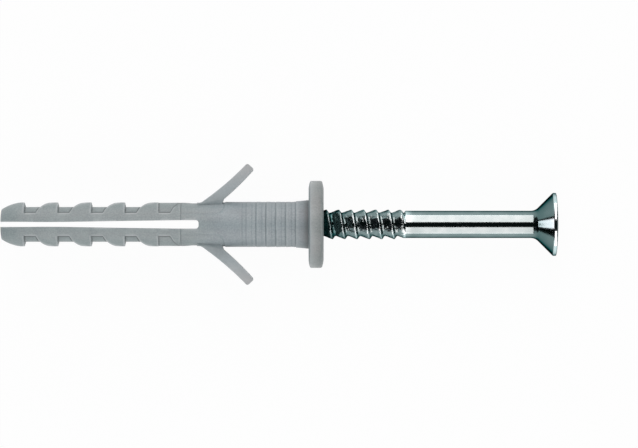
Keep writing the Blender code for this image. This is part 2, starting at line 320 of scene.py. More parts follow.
def addBump(material, shader, height, strength, distance):
    # A second bump lies on the first
    links = material.node_tree.links
    bump = material.node_tree.nodes.new("ShaderNodeBump")
    bump.inputs["Strength"].default_value = strength
    bump.inputs["Distance"].default_value = distance
    links.new(height.socket, bump.inputs["Height"])
    if shader.inputs["Normal"].is_linked:
        links.new(shader.inputs["Normal"].links[0].from_socket, bump.inputs["Normal"])
    links.new(bump.outputs[0], shader.inputs["Normal"])


# rim is the colour of painted highlight, corner the colour of painted shade
nylonFinish = {"Grain scale": 5200.0, "Mottle scale": 420.0, "Streak": 0.06,
               "colour": (0.235, 0.281, 0.288, 1.0), "pale": (0.325, 0.379, 0.386, 1.0),
               "rim": (0.47, 0.51, 0.52, 1.0), "corner": (0.07, 0.09, 0.093, 1.0),
               "wingEnd": (0.400, 0.400, 0.400, 1.0),
               "tints": ((0.0, (0.87, 0.89, 0.886, 1.0)), (24.0, (0.87, 0.89, 0.886, 1.0)),
                         (28.5, (0.943, 0.963, 1.0, 1.0)), (39.6, (0.943, 0.963, 1.0, 1.0)),
                         (40.1, (0.894, 0.850, 0.825, 1.0)))}


def placeOnPlug(material):
    # Millimetres from the plug's tip, and aside from its axis
    tree = material.node_tree
    parts = tree.nodes.new("ShaderNodeSeparateXYZ")
    tree.links.new(tree.nodes["Mapping"].outputs[0], parts.inputs[0])
    along, aside = (Amount(tree, parts.outputs[index]) * 1000.0 for index in range(2))
    return along - rest["tipX"], aside


def tintAlong(material, along, tints):
    # The barrel is a little cooler than the legs, and the collar a little warmer
    tree = material.node_tree
    ramp = tree.nodes.new("ShaderNodeValToRGB")
    tree.links.new((along / 50.0).socket, ramp.inputs[0])
    stops = ramp.color_ramp.elements
    while len(stops) < len(tints):
        stops.new(0.5)
    for index, (place, colour) in enumerate(tints):
        stops[index].position = place / 50.0
        stops[index].color = colour
    return ramp.outputs[0]


def makeNylon(plan):
    material, shader, amounts = startMaterial("greyNylon", plan)
    nodes, links = material.node_tree.nodes, material.node_tree.links
    spread = (amounts["Mottle"] - 0.5) * 1.1 + (amounts["Streaks"] - 0.5) * 0.5
    spread = (spread + (amounts["Grain"] - 0.5) * 2.4 + 0.5).share()
    body = mixColour(nodes, links, spread, plan["colour"], plan["pale"])
    along, across = placeOnPlug(material)
    aside = across.math("ABSOLUTE")
    body = mixColour(nodes, links, 1.0, body, tintAlong(material, along, plan["tints"]), "MULTIPLY")
    wings = (along.takenFrom(38.5)).share() * (along - 26.8).share()
    ends = ((aside - 4.7) / 2.6).share() * wings * 0.75
    body = mixColour(nodes, links, ends, body, plan["wingEnd"])
    # Painted shade along the wings' roots
    wingRootShade = ((aside - 3.4).math("ABSOLUTE") / 1.2).takenFrom(1.0).share() * wings * 0.28
    body = mixColour(nodes, links, wingRootShade, body, plan["corner"])
    # Painted shade on the lower side of the legs and barrel, from mid-leg to the collar, off the wings
    offWings = (((aside - 3.1) / 0.3).share() * wings).takenFrom(1.0)
    low = ((across * -1.0 - 1.6) / 1.2).share() * offWings * ((along - 15.0) / 12.0).share()
    body = mixColour(nodes, links, low * 0.11, body, plan["corner"])
    # Painted highlight on edges and painted shade in corners
    highlightedColour = mixColour(nodes, links, amounts["Edges"] * 0.7, body, plan["rim"])
    shadedColour = mixColour(nodes, links, amounts["Corners"] * 0.7, highlightedColour, plan["corner"])
    links.new(shadedColour, shader.inputs["Base Color"])
    links.new(((amounts["Grain"] - 0.5) * 0.16 + 0.47).socket, shader.inputs["Roughness"])
    shader.inputs["IOR"].default_value = 1.53
    addBump(material, shader, amounts["Grain"] + amounts["Streaks"] * 0.8, 0.22, 0.00003)
    return material


# rim is the colour of painted highlight, corner the colour of painted shade
zincFinish = {"Grain scale": 7000.0, "Mottle scale": 900.0, "Streak": 0.02,
              "colour": (0.200, 0.272, 0.274, 1.0), "pale": (0.252, 0.324, 0.326, 1.0),
              "rim": (0.68, 0.85, 0.86, 1.0), "corner": (0.02, 0.09, 0.09, 1.0),
              "dents": (0.35, 0.0008)}


def makeZinc(plan):
    material, shader, amounts = startMaterial("zincPlate", plan)
    nodes, links = material.node_tree.nodes, material.node_tree.links
    spread = ((amounts["Mottle"] - 0.4) * 2.0).share()
    plate = mixColour(nodes, links, spread, plan["colour"], plan["pale"])
    # Painted highlight on edges, the run-out and the head's rim; painted shade in corners, beside the collar and on
    # the cone
    highlightedColour = mixColour(nodes, links, (amounts["Edges"] * 0.9).share(), plate, plan["rim"])
    shadedColour = mixColour(nodes, links, amounts["Corners"], highlightedColour, plan["corner"])
    links.new(shadedColour, shader.inputs["Base Color"])
    roughness = (amounts["Grain"] - 0.5) * 0.06 + (amounts["Mottle"] - 0.5) * 0.06 + 0.11
    links.new(roughness.socket, shader.inputs["Roughness"])
    shader.inputs["Metallic"].default_value = 1.0
    shader.inputs["Specular Tint"].default_value = (0.02, 0.07, 0.07, 1.0)
    onThread = ((placeOnPlug(material)[0].takenFrom(52.5)) / 0.5).share()
    addBump(material, shader, (amounts["Mottle"] - 0.5) * onThread, *plan["dents"])
    addBump(material, shader, amounts["Grain"] + amounts["Streaks"], 0.08, 0.00002)
    return material


nylon, zinc = makeNylon(nylonFinish), makeZinc(zincFinish)
print("finishes made")

# Plug: the turned outline, in millimetres from the tip
plugSizes = {"length": 40.0, "collarRadius": 5.73 * roundShare, "thickness": 1.80, "crown": 0.15,
             "crownInset": 0.90, "corner": 0.30, "backBevel": 0.23, "backBevelWidth": 0.90,
             "barrel": 2.93, "leg": 2.86, "boreEnd": 27.17, "boreCone": 1.00, "bore": 2.04,
             "channelRoot": 1.00, "channelTip": 0.70, "seat": 4.22, "nose": 2.60, "noseTip": 2.00,
             "noseEdge": 0.10, "noseShoulder": 1.35, "noseDrop": 0.08, "flare": 2.00,
             "flareRise": 0.24, "flareForm": 0.8, "slotEnd": 25.76, "slotCorner": 0.38,
             "slotForm": ((-1.0, 0.335), (2.6, 0.335), (5.2, 0.31), (7.8, 0.325), (11.7, 0.385),
                          (15.6, 0.455), (19.5, 0.505), (22.8, 0.55)),
             "legForm": ((2.6, 0.0), (21.9, 0.0), (23.2, 0.06), (24.3, -0.02), (24.8, -0.08),
                         (25.6, -0.08), (27.0, 0.0), (29.1, 0.07))}

# What is carved into the turned form, in millimetres
carving = {"First pocket": 3.00, "Pocket pitch": 4.36, "Pocket count": 5.0, "Pocket wall": 1.48,
           "Draft": 0.15, "Floor length": 1.62, "Slant run": 0.42, "Slant rise": 0.68,
           "Back length": 1.45, "Core radius": 2.27, "Last core radius": 2.25,
           "Last core offset": 0.57, "Fold start": 23.45, "Fold end": 29.10, "Fold wall": 1.28,
           "Fold corner": 1.30, "Fold core radius": 2.33, "Fold core offset": 0.50, "Fold share": 0.40,
           "First ring": 31.90, "Ring pitch": 1.28, "Ring count": 6.0, "Ring depth": 0.06,
           "Ring lip": 0.035, "Crease place": -0.52, "Crease depth": 0.02, "Split depth": 0.035,
           "Edge softness": 0.22}


def turnedRadius(x):
    p = plugSizes
    if x < p["nose"]:
        curve = bezier((p["noseEdge"], p["noseTip"]), (p["noseShoulder"], p["leg"] - p["noseDrop"]),
                       (p["nose"], p["leg"]), 40)
        return float(np.interp(x, [point[0] for point in curve], [point[1] for point in curve]))
    places, standing = zip(*p["legForm"])
    rise = max(0.0, x - p["length"] + p["flare"]) / p["flare"]
    return p["leg"] + float(np.interp(x, places, standing)) + p["flareRise"] * rise ** p["flareForm"]


def stationsAlong():
    # Places along the plug, close together where something is carved
    c = carving
    spans = [(plugSizes["noseEdge"], plugSizes["nose"], 0.12), (2.6, 38.9, 0.22), (38.7, 40.0, 0.13)]
    for index in range(int(c["Pocket count"])):
        start = c["First pocket"] + index * c["Pocket pitch"]
        spans += [(start - 0.16, start + 0.28, 0.04), (start + 1.50, start + 2.26, 0.06),
                  (start + 2.3, start + 3.6, 0.15)]
    spans += [(c["Fold start"] - 0.15, c["Fold start"] + 0.21, 0.03),
              (c["Fold end"] - 1.3, c["Fold end"] + 0.15, 0.07)]
    for index in range(int(c["Ring count"])):
        ring = c["First ring"] + index * c["Ring pitch"]
        spans += [(ring - 0.12, ring + 0.16, 0.04),
                  (ring + c["Crease place"] - 0.10, ring + c["Crease place"] + 0.10, 0.05)]
    places = sorted({round(x, 4) for first, last, step in spans
                     for x in np.linspace(first, last, 1 + round((last - first) / step))})
    kept = [places[0]]
    for x in places[1:-1]:
        if x - kept[-1] > 0.022:
            kept.append(x)
    return kept + [places[-1]]


def anglesRound():
    # Angles from +Y, close together where the pockets' walls meet the round of the legs
    fromZ = [0, 3, 6, 9, 12, 16, 20, 24, 27, 29, 30.5, 32, 33.5, 35, 36.5, 38, 39.5, 41, 43, 46,
             50, 54, 58, 62, 66, 70, 74, 78, 82, 86]
    quarter = [90.0 - a for a in reversed(fromZ)]
    angles = [0.0] + quarter
    half = angles + [180.0 - a for a in reversed(angles[1:-1])]
    return [math.radians(a) for a in half + [a + 180.0 for a in half]]


def turnedPlug():
    # The whole closed form as unit circles along X, each with its radius as an attribute
    p = plugSizes
    outside = [(x, turnedRadius(x), 1.0) for x in stationsAlong()]
    top, bevelEnd = p["collarRadius"], p["length"] + p["backBevel"]
    soft = 0.10
    collar = [(p["length"], p["collarRadius"] - p["backBevelWidth"])]
    collar += bezier((bevelEnd - soft, top - soft * 2.2), (bevelEnd, top), (bevelEnd + soft, top), 4)
    corner = (p["length"] + p["thickness"] - p["corner"], top - p["corner"])
    collar += arc(corner, p["corner"], math.pi / 2.0, 0.0, 8)
    face = p["length"] + p["thickness"] + p["crown"]
    collar += bezier((corner[0] + p["corner"] + 0.03, top - p["corner"] - 0.12),
                     (face, top - p["crownInset"]), (face, top - p["crownInset"] - 0.2), 4)
    collar += [(face, p["seat"] + 0.06), (face - 0.02, p["seat"] + 0.015)]
    seatEnd = face - (p["seat"] - p["bore"])
    collar += [(face - 0.06, p["seat"] - 0.05), (seatEnd, p["bore"]), (p["boreEnd"], p["bore"]),
               (p["boreEnd"] - p["boreCone"], p["channelRoot"]), (0.08, p["channelTip"]),
               (0.0, p["channelTip"] + 0.08), (0.0, p["noseTip"] - 0.24),
               (p["noseEdge"] * 0.2, p["noseTip"] - 0.12), (p["noseEdge"] * 0.5, p["noseTip"] - 0.04)]
    loop = outside + [(x, radius, 0.0) for x, radius in collar]
    angles = anglesRound()
    bm = bmesh.new()
    rings = lathe(bm, [point[:2] for point in loop], angles, radii=False)
    joinRings(bm, rings, closed=True)
    item = newObject("plugSkin", bm)
    for label, column in (("turned", 1), ("carved", 2)):
        values = np.repeat([point[column] for point in loop], len(angles))
        item.data.attributes.new(label, "FLOAT", "POINT").data.foreach_set("value", values)
    return item


def carvingTree():
    # Along each line out from the axis, the carved radius follows from the pockets' walls,
    # the round core that they leave standing, the fold recess and the rings
    tree, entry, size = startTree("carvedNylon", carving)
    x, y, z = placeOf(tree)
    read = {}
    for label in ("turned", "carved"):
        node = tree.nodes.new("GeometryNodeInputNamedAttribute")
        node.data_type = "FLOAT"
        node.inputs["Name"].default_value = label
        read[label] = Amount(tree, node.outputs["Attribute"])
    soft = size["Edge softness"]
    sideways = y.math("ABSOLUTE").most(0.02)
    upwards = (sideways * sideways).takenFrom(1.0).most(0.0)

    def coreRadius(radius, offset):
        return offset * sideways + (radius * radius - offset * offset * upwards).math("SQRT")

    turn = ((x - size["First pocket"] + 0.5) / size["Pocket pitch"]).math("FLOOR")
    lastTurn = size["Pocket count"] - 1.0
    turn = turn.most(0.0).least(lastTurn)
    place = x - size["First pocket"] - turn * size["Pocket pitch"]
    depth = read["turned"] - size["Pocket wall"]
    steep = read["turned"] - depth * place / size["Draft"]
    slant = size["Pocket wall"] + (place - size["Floor length"]) * size["Slant rise"] / size["Slant run"]
    backFrom = size["Floor length"] + size["Slant run"]
    backShare = ((place - backFrom) / size["Back length"]).least(1.0)
    left = backShare.takenFrom(1.0)
    backBase = size["Pocket wall"] + size["Slant rise"]
    back = backBase + (read["turned"] - backBase) * (left * left).takenFrom(1.0)
    beyond = (place - backFrom - size["Back length"]).most(0.0)
    wall = size["Pocket wall"].most(slant.least(back), 0.15).most(steep, 0.10) + beyond * 0.5
    isLast = (turn - lastTurn + 1.0).share()
    ordinary = size["Core radius"]
    last = coreRadius(size["Last core radius"], size["Last core offset"])
    core = ordinary + (last - ordinary) * isLast
    pocket = (wall / sideways).most(core, soft * 0.8)

    before = (size["Fold start"] - x).most(0.0)
    after = (x - size["Fold end"]).most(0.0)
    intoCorner = (x - size["Fold end"] + size["Fold corner"]).most(0.0)
    square = size["Fold corner"] * size["Fold corner"] - intoCorner * intoCorner
    foldWall = size["Fold wall"] + size["Fold corner"] - square.most(0.0).math("SQRT")
    foldWall = foldWall + (before + after) * 8.0
    foldCore = coreRadius(size["Fold core radius"], size["Fold core offset"])
    fold = (foldWall / sideways).most(foldCore, soft * 0.6)
    fold = read["turned"] + (fold - read["turned"]) * size["Fold share"]

    ring = ((x - size["First ring"]) / size["Ring pitch"] + 0.5).math("FLOOR")
    ring = ring.most(0.0).least(size["Ring count"] - 1.0)
    apart = x - size["First ring"] - ring * size["Ring pitch"]
    notch = (apart.math("ABSOLUTE") / 0.12).takenFrom(1.0).most(0.0) * size["Ring depth"]
    beforeRing = (apart / 0.03).math("MULTIPLY", -1.0).share()
    lip = (apart / 0.62).takenFrom(1.0).share() * beforeRing.takenFrom(1.0) * size["Ring lip"]
    crease = ((apart - size["Crease place"]).math("ABSOLUTE") / 0.08).takenFrom(1.0).most(0.0)
    ringWeight = (ring * 0.5 + 0.4).least(1.0)
    split = ((x - size["Fold start"]).math("ABSOLUTE") / 0.07).takenFrom(1.0).most(0.0)
    ringed = read["turned"] + (lip - notch) * ringWeight - crease * size["Crease depth"]
    ringed = ringed - split * size["Split depth"]

    carved = ringed.least(pocket, soft * 0.5).least(fold, soft * 1.2)
    radius = read["turned"] + (carved - read["turned"]) * read["carved"]

    def near(first, second, width):
        return ((first - second).math("ABSOLUTE") / width).takenFrom(1.0).share()

    # Painted light: painted highlight on the pockets' rims and along the collar's rim; painted shade at the
    # pockets' feet, along the fold's edges, in the rings, the crease and the split line, under the collar and over
    # the whole collar; darker on the last pocket's back
    inPocket = ((read["turned"] - size["Pocket wall"] / sideways) / 0.15).share()
    rims = near(wall / sideways, read["turned"] + 0.10, 0.22) * 0.9
    rims = rims + near(place, -0.07, 0.10) * inPocket * 0.7
    lastBack = isLast * ((place - backFrom) / 0.3).share()
    rims = rims - near(wall / sideways, read["turned"] + 0.05, 0.30) * lastBack * 1.1
    feet = near(wall / sideways, core - 0.04, 0.22) * 1.25
    feet = feet.most(near(place, 0.12, 0.13) * inPocket * 1.1)
    onSlant = ((place - size["Floor length"] + 0.06) / 0.08).share() * isLast.takenFrom(1.0)
    feet = feet.most(near(wall / sideways, core - 0.20, 0.34) * onSlant * 1.5)
    creaseEnds = near(x, 26.6, 1.3)
    feet = feet + near(foldWall / sideways, foldCore + 0.1, 0.16) * creaseEnds * 0.5
    feet = feet + notch * ringWeight * 8.5 + crease * 0.25 + split * 0.6
    underCollar = ((x - 38.45) / 1.45).share()
    feet = feet + underCollar * underCollar * 1.35
    collar = ((x - 39.99) * 50.0).share() * read["carved"].takenFrom(1.0)
    collarRim = near(x, 40.27, 0.13) * 1.2 * read["carved"].takenFrom(1.0)
    tone = (rims - feet) * read["carved"] - collar * 0.58 + collarRim * collar
    keep = tree.nodes.new("GeometryNodeStoreNamedAttribute")
    keep.data_type = "FLOAT"
    keep.inputs["Name"].default_value = "paintedLightTone"
    tree.links.new(entry.outputs["Geometry"], keep.inputs["Geometry"])
    tree.links.new(tone.socket, keep.inputs["Value"])
    endTree(tree, entry, movedTo(tree, keep.outputs["Geometry"], x, y * radius, z * radius))
    return tree


wingSizes = {"rootX": 27.00, "leg": 2.86, "sink": 0.22, "heading": math.radians(36.5),
             "turn": math.radians(11.0), "reach": 7.38, "root": 1.46, "tip": 1.20, "width": 2.20,
             "fillet": 0.90, "outerCorner": 0.30, "innerCorner": 0.35, "webStart": 1.90,
             "webLean": 0.30, "softEdge": 0.08}


def wingEdge(distance, side):
    w = wingSizes
    bend = w["reach"] / w["turn"]
    heading = w["heading"] + distance / bend
    x = w["rootX"] + bend * (math.sin(heading) - math.sin(w["heading"]))
    y = w["leg"] - w["sink"] - bend * (math.cos(heading) - math.cos(w["heading"]))
    half = (w["root"] + (w["tip"] - w["root"]) * max(distance, 0.0) / w["reach"]) / 2.0
    return x - side * half * math.sin(heading), y + side * half * math.cos(heading)


def wingOutline():
    w = wingSizes
    base = w["leg"] - w["sink"] / 8.0
    inside = w["leg"] - w["sink"] * 3.0
    outerX, outerY = wingEdge(0.0, 1.0)
    cornerX = outerX - (outerY - base) / math.tan(w["heading"])
    filletStart = cornerX - w["fillet"] * math.tan(w["heading"] / 2.0) - w["sink"]
    webX, webY = wingEdge(w["webStart"], -1.0)
    stops = [w["reach"] * step / 12.0 for step in range(1, 12)]
    corners = [(filletStart, inside, 0.0), (filletStart, base, 0.0), (cornerX, base, w["fillet"])]
    corners += [(*wingEdge(stop, 1.0), 0.0) for stop in stops]
    corners.append((*wingEdge(w["reach"], 1.0), w["outerCorner"]))
    corners.append((*wingEdge(w["reach"], -1.0), w["innerCorner"]))
    corners += [(*wingEdge(stop, -1.0), 0.0) for stop in reversed(stops) if stop > w["webStart"]]
    return rounded(corners + [(webX, webY, 0.0), (webX - w["webLean"], inside, 0.0)])


def slab(name, outline, half, softEdge=0.0):
    # An outline drawn along Z to both sides, with its rims rounded over
    bm = bmesh.new()
    floor = bm.faces.new([bm.verts.new((x, y, -half)) for x, y in outline])
    made = bmesh.ops.extrude_face_region(bm, geom=[floor])
    top = [item for item in made["geom"] if isinstance(item, bmesh.types.BMVert)]
    bmesh.ops.translate(bm, vec=(0, 0, 2.0 * half), verts=top)
    if softEdge:
        rims = [edge for edge in bm.edges
                if abs(edge.verts[0].co.z - edge.verts[1].co.z) < 0.001]
        bmesh.ops.bevel(bm, geom=rims, offset=softEdge, offset_type="OFFSET", segments=3,
                        profile=0.5, affect="EDGES", clamp_overlap=True)
        flats = sorted(bm.faces, key=lambda face: face.calc_area())[-2:]
        bmesh.ops.inset_individual(bm, faces=flats, thickness=softEdge / 2.0)
    return newObject(name, bm)


def slotOutline():
    # Half widths from past the tip to the slot's round end
    p = plugSizes
    root = p["slotForm"][-1][1]
    there = [(x, -half, 0.0) for x, half in p["slotForm"]]
    back = [(x, half, 0.0) for x, half in reversed(p["slotForm"])]
    end = [(p["slotEnd"], -root, p["slotCorner"]), (p["slotEnd"], root, p["slotCorner"])]
    return rounded(there + end + back)


def setTone(item, toneAt):
    # The piece's painted light tone, from a function of the place along it
    shape = item.data
    points = np.empty(len(shape.vertices) * 3)
    shape.vertices.foreach_get("co", points)
    mark = shape.attributes.new("paintedLightTone", "FLOAT", "POINT")
    mark.data.foreach_set("value", toneAt(points[::3]).astype(np.float32))


def markEdges(item, reach, edgeGain, cornerGain):
    # The piece's edgeTone, for painted highlight on edges and painted shade in corners: how far each point stands
    # out of, or into, its neighbours, plus its painted light tone
    shape = item.data
    count = len(shape.vertices)
    points = np.empty(count * 3)
    shape.vertices.foreach_get("co", points)
    points = points.reshape(-1, 3)
    normals = np.empty(count * 3)
    shape.vertices.foreach_get("normal", normals)
    normals = normals.reshape(-1, 3)
    ends = np.empty(len(shape.edges) * 2, dtype=np.int64)
    shape.edges.foreach_get("vertices", ends)
    ends = ends.reshape(-1, 2)
    first, second = ends[:, 0], ends[:, 1]
    between = points[second] - points[first]
    length = np.maximum(np.linalg.norm(between, axis=1), 1e-6)
    bend = np.einsum("ij,ij->i", between, normals[second] - normals[first]) / length ** 2
    weight = 1.0 / length
    total = np.bincount(first, weight, count) + np.bincount(second, weight, count)
    tone = (np.bincount(first, bend * weight, count) + np.bincount(second, bend * weight, count))
    tone = np.clip(tone / np.maximum(total, 1e-9) * reach, -1.0, 1.0)
    for _ in range(3):
        spread = np.bincount(first, tone[second] * weight, count)
        spread += np.bincount(second, tone[first] * weight, count)
        tone = 0.5 * tone + 0.5 * spread / np.maximum(total, 1e-9)
    tone = np.where(tone > 0.0, tone * edgeGain, tone * cornerGain)
    if "paintedLightTone" in shape.attributes:
        own = np.empty(count, dtype=np.float32)
        shape.attributes["paintedLightTone"].data.foreach_get("value", own)
        tone = tone + own
    tone = np.clip(tone, -1.0, 1.0)
    mark = shape.attributes.get("edgeTone") or shape.attributes.new("edgeTone", "FLOAT", "POINT")
    mark.data.foreach_set("value", tone.astype(np.float32))


def finishPiece(item, name, node, material, along, sharp, gains):
    # Doubles out, finish on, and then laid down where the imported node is
    bm = bmesh.new()
    bm.from_mesh(item.data)
    bmesh.ops.remove_doubles(bm, verts=bm.verts, dist=0.0008)
    bmesh.ops.dissolve_degenerate(bm, edges=bm.edges, dist=0.0005)
    openEdges = sum(not edge.is_manifold for edge in bm.edges)
    bmesh.ops.recalc_face_normals(bm, faces=bm.faces)
    bm.to_mesh(item.data)
    bm.free()
    markEdges(item, 0.12, *gains)
    item.data.transform(layDown @ Matrix.Translation((along, 0.0, 0.0)))
    item.data.materials.clear()
    item.data.materials.append(material)
    item.data.shade_smooth()
    item.data.set_sharp_from_angle(angle=math.radians(sharp))
    item.name = item.data.name = name
    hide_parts(node)
    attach(item, "root")
    triangles = sum(len(face.vertices) - 2 for face in item.data.polygons)
    print(name, "made,", triangles, "triangles,", openEdges, "open edges")


def makePlug():
    plug = turnedPlug()
    runTree(plug, carvingTree(), carving, nylon)
    for side in (1.0, -1.0):
        outline = [(x, side * y) for x, y in wingOutline()]
        wing = slab("wingBlank", outline, wingSizes["width"] / 2.0, wingSizes["softEdge"])
        combine(plug, wing, "UNION")
    combine(plug, slab("slotBlank", slotOutline(), 4.0), "DIFFERENCE")
    finishPiece(plug, "plug_body", "plug", nylon, 0.0, 50.0, (0.9, 0.45))


makePlug()

# Nail screw, in millimetres from its point
nailSizes = {"length": 44.996, "shank": 1.78, "point": 0.40, "head": 4.15 * roundShare, "rim": 0.42,
             "chamfer": 0.09, "dome": 0.26, "fillet": 1.35, "columns": 64}
threadForm = {"Pitch": 1.61, "Length": 25.15, "Crest radius": 1.93, "Root radius": 1.53,
              "Shank radius": 1.78, "Point radius": 0.40, "Point length": 3.2,
              "Crest width": 0.12, "Steep flank": 0.28, "Root width": 0.20, "Run-out": 0.20, "Crest fade": 0.80,
              "Clocking": 0.205, "Uneven": 0.080, "Turns": 18.0, "Rows": 865.0, "Columns": 65.0}


def nailBlank():
    # Point cap, shank and countersunk head; the thread is added between them
    n = nailSizes
    rimEnd = n["length"] - n["dome"]
    rimStart = rimEnd - n["rim"]
    coneStart = rimStart - (n["head"] - n["shank"])
    tangent = n["fillet"] * math.tan(math.pi / 8.0)
    outline = [(threadForm["Length"], n["shank"])]
    outline += [(x, n["shank"]) for x in np.linspace(26.0, coneStart - tangent - 0.1, 12)]
    outline += arc((coneStart - tangent, n["shank"] + n["fillet"]), n["fillet"],
                   -math.pi / 2.0, -math.pi / 4.0, 8)
    ch = n["chamfer"]
    outline += bezier((rimStart - ch, n["head"] - ch), (rimStart, n["head"]),
                      (rimStart + ch, n["head"]), 4)
    outline += bezier((rimEnd - ch, n["head"]), (rimEnd, n["head"]), (rimEnd, n["head"] - ch), 4)
    edge = n["head"] - ch
    domeRadius = (edge ** 2 + n["dome"] ** 2) / (2.0 * n["dome"])
    halfAngle = math.asin(edge / domeRadius)
    dome = arc((n["length"] - domeRadius, 0.0), domeRadius, halfAngle, 0.0, 12)[1:-1]
    outline += dome + [(n["length"], 0.0)]
    angles = [2.0 * math.pi * k / n["columns"] for k in range(n["columns"])]
    bm = bmesh.new()
    joinRings(bm, lathe(bm, outline, angles))
    joinRings(bm, lathe(bm, [(0.0, 0.0), (0.0, n["point"])], angles))
    return newObject("nailBlank", bm)


def unevenness(tree, along, *around):
    # A rolled thread is never quite even: a slow noise from -0.5 to 0.5
    place = tree.nodes.new("ShaderNodeCombineXYZ")
    for amount, socket in zip((along, *around), place.inputs):
        tree.links.new((amount * 2.2).socket, socket)
    noise = tree.nodes.new("ShaderNodeTexNoise")
    noise.inputs["Scale"].default_value = 1.1
    noise.inputs["Detail"].default_value = 1.0
    tree.links.new(place.outputs[0], noise.inputs["Vector"])
    return Amount(tree, noise.outputs[0]) - 0.5


def threadTree():
    # A grid wound round the nail: its rows run on by one pitch in each turn
    tree, entry, size = startTree("woundThread", threadForm)
    grid = tree.nodes.new("GeometryNodeMeshGrid")
    grid.inputs["Size X"].default_value = grid.inputs["Size Y"].default_value = 1.0
    tree.links.new(size["Rows"].socket, grid.inputs["Vertices X"])
    tree.links.new(size["Columns"].socket, grid.inputs["Vertices Y"])
    x, y, z = placeOf(tree)
    turns = (x + 0.5) * size["Turns"]
    wound = turns - (turns * (2.0 * math.pi)).math("SINE") * (0.6 / (2.0 * math.pi))
    share = y + 0.5
    along = (wound - 2.0 + size["Clocking"] + share) * size["Pitch"]
    sinceCrest = (wound + 0.0001).math("FRACT") * size["Pitch"]
    halfCrest = size["Crest width"] * 0.5
    fall = ((sinceCrest - halfCrest) / size["Steep flank"]).takenFrom(1.0)
    riseLength = size["Pitch"] - size["Crest width"] - size["Steep flank"] - size["Root width"]
    rise = (sinceCrest - size["Pitch"] + halfCrest) / riseLength + 1.0
    height = fall.most(rise).most(0.0, 0.16).least(1.0, 0.14)
    angle = share * (2.0 * math.pi)
    around = [angle.math("COSINE"), angle.math("SINE")]
    form = size["Root radius"] + (size["Crest radius"] - size["Root radius"]) * height
    form = form + unevenness(tree, along, *around) * size["Uneven"]
    left = along.takenFrom(0.0) + size["Length"]
    over = (form - size["Shank radius"]).most(0.0) * (left / size["Crest fade"]).share()
    under = (form - size["Shank radius"]).least(0.0) * (left / size["Run-out"]).share()
    faded = size["Shank radius"] + over + under
    taper = size["Point radius"] + (size["Crest radius"] - size["Point radius"]) * (
        along.most(0.0) / size["Point length"])
    radius = faded.least(taper)
    kept = along.most(0.0).least(size["Length"])
    wrapped = movedTo(tree, grid.outputs["Mesh"], kept, radius * around[0], radius * around[1])
    both = tree.nodes.new("GeometryNodeJoinGeometry")
    tree.links.new(entry.outputs["Geometry"], both.inputs[0])
    tree.links.new(wrapped, both.inputs[0])
    endTree(tree, entry, both.outputs[0])
    return tree


recessSizes = {"reach": 2.20, "arm": 1.13, "depth": 2.00, "floorReach": 1.25, "floorArm": 0.80,
               "turn": math.radians(22.0), "over": 0.5, "tickWidth": 0.16, "tickDepth": 0.14,
               "tickFrom": 0.95, "tickTo": 2.55}


def crossBlank():
    # The driver's cross narrows to its floor, and ends there in a blunt pyramid
    s = recessSizes
    grow = s["over"] / s["depth"]
    top = nailSizes["length"] + s["over"]
    levels = [(s["floorReach"] * 0.30, s["floorArm"] * 0.30, nailSizes["length"] - s["depth"] - 0.35),
              (s["floorReach"], s["floorArm"], nailSizes["length"] - s["depth"]),
              (s["reach"] + (s["reach"] - s["floorReach"]) * grow,
               s["arm"] + (s["arm"] - s["floorArm"]) * grow, top)]
    bm = bmesh.new()
    rings = []
    for reach, arm, x in levels:
        half = arm / 2.0
        ring = []
        for quarter in range(4):
            turn = s["turn"] + quarter * math.pi / 2.0
            for along, across in ((reach, -half), (reach, half), (half, half)):
                ring.append(bm.verts.new((x, along * math.cos(turn) - across * math.sin(turn),
                                          along * math.sin(turn) + across * math.cos(turn))))
        rings.append(ring)
    joinRings(bm, rings)
    bm.faces.new(rings[0])
    bm.faces.new(rings[-1])
    return newObject("crossBlank", bm)


def tickBlank():
    # The four fine strokes that stand between the arms of such a cross
    s = recessSizes
    bm = bmesh.new()
    for quarter in range(4):
        turn = s["turn"] + (quarter + 0.5) * math.pi / 2.0
        corners = []
        for x, wide in ((nailSizes["length"] - s["tickDepth"], 0.3), (nailSizes["length"] + 0.3, 1.0)):
            half = s["tickWidth"] * wide / 2.0
            for along, across in ((s["tickFrom"], -half), (s["tickTo"], -half),
                                  (s["tickTo"], half), (s["tickFrom"], half)):
                corners.append(bm.verts.new((x, along * math.cos(turn) - across * math.sin(turn),
                                             along * math.sin(turn) + across * math.cos(turn))))
        joinRings(bm, [corners[:4], corners[4:]])
        bm.faces.new(corners[:4])
        bm.faces.new(corners[4:])
    return newObject("tickBlank", bm)


def paintedNailLight():
    # Painted shade: black beside the collar, fading along the shank, and darker on the cone under the head; painted
    # highlight at the thread's run-out and on the head's rim, and painted shade at the rim's edge with the dome
    n = nailSizes
    collarFace = plugSizes["length"] + plugSizes["thickness"] + plugSizes["crown"] - rest["nailPoint"]
    rimEnd = n["length"] - n["dome"]
    rimStart = rimEnd - n["rim"]
    coneStart = rimStart - (n["head"] - n["shank"])
    runOut = threadForm["Length"]
    return ((collarFace - 0.10, -1.0), (collarFace + 0.45, -1.0), (collarFace + 0.60, -0.70),
            (collarFace + 1.90, -0.58), (collarFace + 2.90, -0.14), (collarFace + 4.20, 0.0),
            (runOut - 0.32, 0.0),
            (runOut - 0.24, 0.9), (runOut - 0.02, 0.9), (runOut + 0.05, 0.0),
            (coneStart - 0.45, 0.0), (coneStart + 0.25, -0.57), (rimStart - n["chamfer"], -0.57),
            (rimStart - n["chamfer"] + 0.02, 1.0), (rimEnd - 0.10, 1.0), (rimEnd - 0.07, -1.0),
            (rimEnd + 0.05, -0.8), (rimEnd + 0.10, 0.0))


